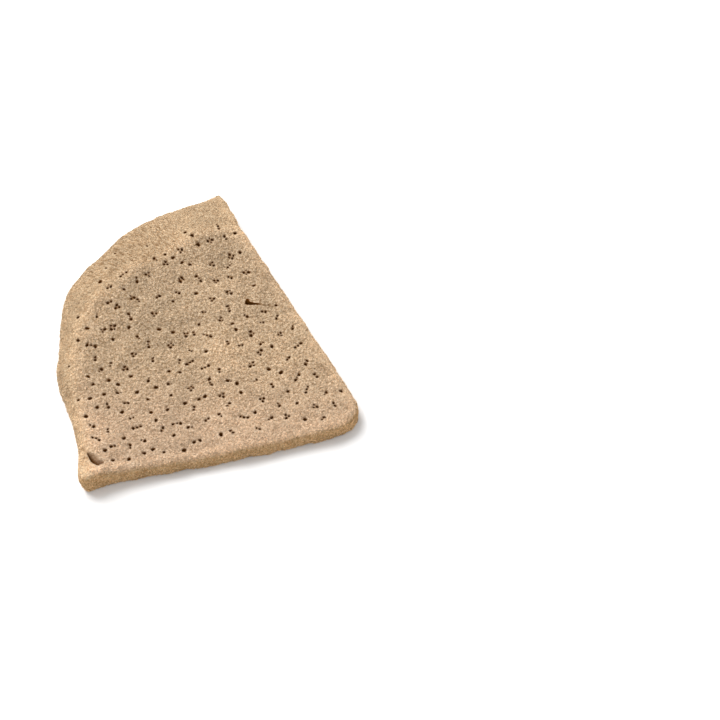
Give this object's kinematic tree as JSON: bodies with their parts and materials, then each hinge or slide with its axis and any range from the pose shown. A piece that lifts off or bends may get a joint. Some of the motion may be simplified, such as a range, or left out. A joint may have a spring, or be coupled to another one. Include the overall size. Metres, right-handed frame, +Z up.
{
  "type": "sea sponge",
  "caption": "Thick wedge cut from a flat, fan-shaped natural sea sponge, with a curved rim, a porous face and two cut sides.",
  "frame": {"origin": "on the surface the sponge lies on, under the middle of its bounding box", "axes": "+Z up through the porous face, +Y from the front cut towards the back corner, +X towards the blunt tip between the two cuts"},
  "size_m": [0.1012, 0.1211, 0.0111],
  "materials": {
    "sponge_skeleton": "matte"
  },
  "bodies": {
    "root": {"sponge": "sponge_skeleton"}
  },
  "joints": []
}
